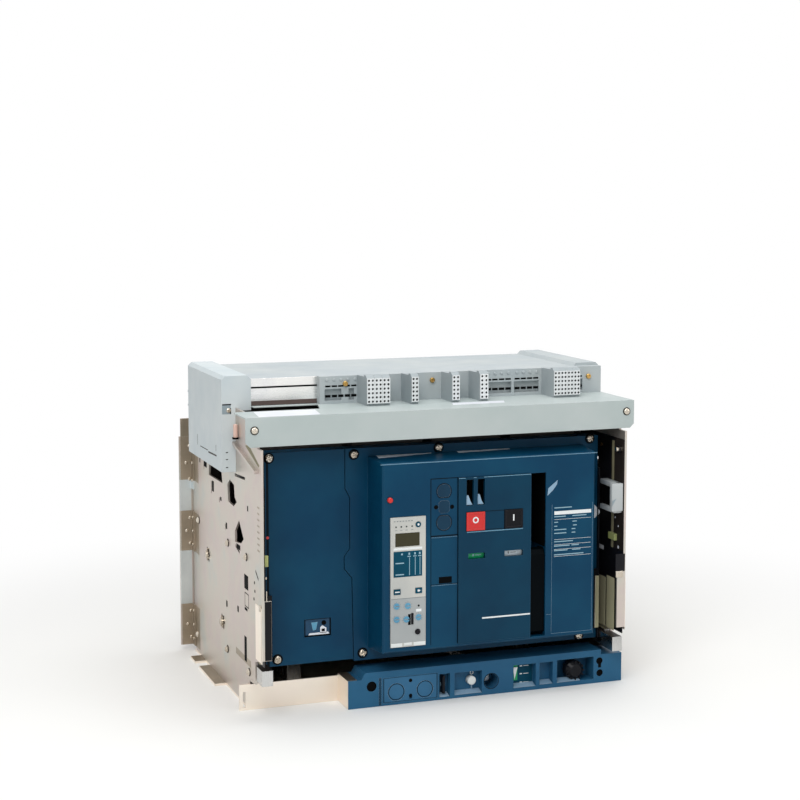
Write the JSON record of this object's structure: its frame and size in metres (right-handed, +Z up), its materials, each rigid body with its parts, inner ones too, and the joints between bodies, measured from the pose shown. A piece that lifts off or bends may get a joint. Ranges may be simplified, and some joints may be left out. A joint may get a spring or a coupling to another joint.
{
  "type": "draw-out air circuit breaker",
  "caption": "Four-pole low-voltage draw-out air circuit breaker in its racking chassis, with trip unit, push buttons, charging handle, shutters and rear busbar terminals.",
  "frame": {"origin": "middle of the footprint, on the underside of the base tray", "axes": "+X to the right as seen from the front, +Y to the back, +Z up"},
  "size_m": [0.556, 0.395, 0.439],
  "materials": {
    "zinc_sheet": "bright zinc plate, satin",
    "olive_zinc": "olive passivated zinc",
    "grey_enamel": "satin enamel",
    "grey_moulding": "fine moulded grain",
    "brushed_aluminium": "brushed",
    "terminal_moulding": "moulded",
    "cover_moulding": "satin moulded",
    "racking_moulding": "satin moulded",
    "panel_moulding": "smooth moulded",
    "trip_moulding": "fine moulded grain",
    "screen": "clear window over a dark display",
    "teal_key": "smooth moulded",
    "dial_moulding": "smooth moulded",
    "black_moulding": "smooth moulded",
    "red_button": "smooth moulded",
    "green_flag": "smooth moulded",
    "pale_flag": "smooth moulded",
    "white_button": "smooth moulded",
    "thermoset": "pressed thermoset",
    "grip_moulding": "moulded",
    "copper": "silver-plated and bare copper",
    "bright_steel": "ground",
    "screw_steel": "zinc-plated heads"
  },
  "bodies": {
    "chassis": {"side_plate_left": "zinc_sheet", "side_plate_right": "zinc_sheet", "base_tray": "zinc_sheet", "front_crossbar": "grey_enamel", "end_cap_left": "grey_moulding", "end_cap_right": "grey_moulding", "top_cover": "grey_moulding", "terminal_rail": "brushed_aluminium", "terminal_base": "grey_moulding", "terminal_blocks": "terminal_moulding", "racking_bar": "racking_moulding", "key_lock_plate": "racking_moulding", "rail_guides": "bright_steel", "rear_panel": "thermoset", "rear_terminals": "copper", "contact_jaws": "copper", "rear_brackets": "olive_zinc", "side_bolts": "screw_steel", "chassis_screws": "screw_steel"},
    "racking_carriage": {"racking_carriage": "bright_steel"},
    "racking_screw": {"racking_screw": "bright_steel"},
    "position_flag": {"position_flag": "green_flag"},
    "upper_shutter": {"upper_shutter": "thermoset"},
    "lower_shutter": {"lower_shutter": "thermoset"},
    "rail_left": {"rail_left": "bright_steel"},
    "rail_right": {"rail_right": "bright_steel"},
    "release_button": {"release_button": "white_button"},
    "padlock_slide": {"padlock_slide": "black_moulding"},
    "stored_crank": {"stored_crank": "black_moulding"},
    "breaker": {"pole_case": "thermoset", "arc_chutes": "thermoset", "breaker_side_plates": "zinc_sheet", "lifting_grips": "grip_moulding", "fourth_pole_cover": "cover_moulding", "front_cover": "cover_moulding", "cover_screws": "screw_steel", "main_blades": "copper", "mechanism_frame": "bright_steel", "closing_spring": "bright_steel", "trip_unit": "trip_moulding", "trip_screen": "screen", "rating_plug": "black_moulding", "key_lock_cover": "cover_moulding", "control_panel": "panel_moulding"},
    "pole_shaft": {"pole_shaft": "bright_steel", "moving_contacts": "copper"},
    "contact_flag": {"contact_flag": "green_flag"},
    "charge_flag": {"charge_flag": "pale_flag"},
    "charging_handle": {"charging_handle": "panel_moulding"},
    "off_button": {"off_button": "red_button"},
    "on_button": {"on_button": "black_moulding"},
    "reset_button": {"reset_button": "red_button"},
    "menu_key_left": {"menu_key_left": "teal_key"},
    "menu_key_right": {"menu_key_right": "teal_key"},
    "test_key": {"test_key": "teal_key"},
    "dial_1": {"dial_1": "dial_moulding"},
    "dial_2": {"dial_2": "dial_moulding"},
    "dial_3": {"dial_3": "dial_moulding"},
    "dial_4": {"dial_4": "dial_moulding"},
    "dial_5": {"dial_5": "dial_moulding"}
  },
  "joints": [
    {"name": "racking_slide", "type": "slide", "parent": "chassis", "child": "racking_carriage", "axis": [0, -1, 0], "range_m": [0, 0.085]},
    {"name": "racking_screw_turn", "type": "hinge", "parent": "chassis", "child": "racking_screw", "pos_m": [0.0705, -0.0715, 0.0186], "axis": [0, -1, 0], "range_deg": [0, 3060.5]},
    {"name": "position_flag_slide", "type": "slide", "parent": "chassis", "child": "position_flag", "axis": [1, 0, 0], "range_m": [0, 0.0201]},
    {"name": "upper_shutter_lift", "type": "slide", "parent": "chassis", "child": "upper_shutter", "axis": [0, 0, 1], "range_m": [0, 0.0301]},
    {"name": "lower_shutter_drop", "type": "slide", "parent": "chassis", "child": "lower_shutter", "axis": [0, 0, -1], "range_m": [0, 0.0301]},
    {"name": "rail_left_slide", "type": "slide", "parent": "chassis", "child": "rail_left", "axis": [0, -1, 0], "range_m": [0, 0.26]},
    {"name": "rail_right_slide", "type": "slide", "parent": "chassis", "child": "rail_right", "axis": [0, -1, 0], "range_m": [0, 0.26]},
    {"name": "release_button_press", "type": "slide", "parent": "chassis", "child": "release_button", "axis": [0, 1, 0], "range_m": [0, 0.003], "stiffness_N_per_m": 500, "springref_m": -0.002},
    {"name": "padlock_slide_pull", "type": "slide", "parent": "chassis", "child": "padlock_slide", "axis": [0, -1, 0], "range_m": [0, 0.018]},
    {"name": "stored_crank_pull", "type": "slide", "parent": "chassis", "child": "stored_crank", "axis": [0, -1, 0], "range_m": [0, 0.15]},
    {"name": "breaker_slide", "type": "slide", "parent": "racking_carriage", "child": "breaker", "axis": [0, -1, 0], "range_m": [0, 0.26]},
    {"name": "pole_shaft_turn", "type": "hinge", "parent": "breaker", "child": "pole_shaft", "pos_m": [0, -0.0715, 0.15], "axis": [-1, 0, 0], "range_deg": [0, 22]},
    {"name": "contact_flag_turn", "type": "hinge", "parent": "breaker", "child": "contact_flag", "pos_m": [0.0372, -0.1786, 0.2], "axis": [-1, 0, 0], "range_deg": [0, 60.1]},
    {"name": "charge_flag_turn", "type": "hinge", "parent": "breaker", "child": "charge_flag", "pos_m": [0.091, -0.1786, 0.2], "axis": [-1, 0, 0], "range_deg": [0, 60]},
    {"name": "charging_handle_pull", "type": "hinge", "parent": "breaker", "child": "charging_handle", "pos_m": [0.12755, -0.1855, 0.092], "axis": [1, 0, 0], "range_deg": [0, 75], "stiffness_Nm_per_rad": 0.5, "springref_deg": -11.46},
    {"name": "off_button_press", "type": "slide", "parent": "breaker", "child": "off_button", "axis": [0, 1, 0], "range_m": [0, 0.004], "stiffness_N_per_m": 800, "springref_m": -0.002},
    {"name": "on_button_press", "type": "slide", "parent": "breaker", "child": "on_button", "axis": [0, 1, 0], "range_m": [0, 0.004], "stiffness_N_per_m": 800, "springref_m": -0.002},
    {"name": "reset_button_press", "type": "slide", "parent": "breaker", "child": "reset_button", "axis": [0, 1, 0], "range_m": [0, 0.003], "stiffness_N_per_m": 500, "springref_m": -0.002},
    {"name": "menu_key_left_press", "type": "slide", "parent": "breaker", "child": "menu_key_left", "axis": [0, 1, 0], "range_m": [0, 0.001], "stiffness_N_per_m": 1000, "springref_m": -0.001},
    {"name": "menu_key_right_press", "type": "slide", "parent": "breaker", "child": "menu_key_right", "axis": [0, 1, 0], "range_m": [0, 0.001], "stiffness_N_per_m": 1000, "springref_m": -0.001},
    {"name": "test_key_press", "type": "slide", "parent": "breaker", "child": "test_key", "axis": [0, 1, 0], "range_m": [0, 0.001], "stiffness_N_per_m": 1000, "springref_m": -0.001},
    {"name": "dial_1_turn", "type": "hinge", "parent": "breaker", "child": "dial_1", "pos_m": [-0.0762, -0.194, 0.1409], "axis": [0, 1, 0], "range_deg": [-135, 135]},
    {"name": "dial_2_turn", "type": "hinge", "parent": "breaker", "child": "dial_2", "pos_m": [-0.0606, -0.194, 0.1404], "axis": [0, 1, 0], "range_deg": [-135, 135]},
    {"name": "dial_3_turn", "type": "hinge", "parent": "breaker", "child": "dial_3", "pos_m": [-0.0762, -0.194, 0.1232], "axis": [0, 1, 0], "range_deg": [-135, 135]},
    {"name": "dial_4_turn", "type": "hinge", "parent": "breaker", "child": "dial_4", "pos_m": [-0.0626, -0.194, 0.1225], "axis": [0, 1, 0], "range_deg": [-135, 135]},
    {"name": "dial_5_turn", "type": "hinge", "parent": "breaker", "child": "dial_5", "pos_m": [-0.0456, -0.194, 0.1241], "axis": [0, 1, 0], "range_deg": [-135, 135]}
  ],
  "couplings": [
    {"joint": "racking_screw_turn", "follows": "racking_slide", "rad_per_m": 628.32},
    {"joint": "position_flag_slide", "follows": "racking_slide", "ratio": 0.23529},
    {"joint": "upper_shutter_lift", "follows": "racking_slide", "ratio": 0.35294},
    {"joint": "lower_shutter_drop", "follows": "racking_slide", "ratio": 0.35294},
    {"joint": "contact_flag_turn", "follows": "pole_shaft_turn", "ratio": 2.7273}
  ]
}
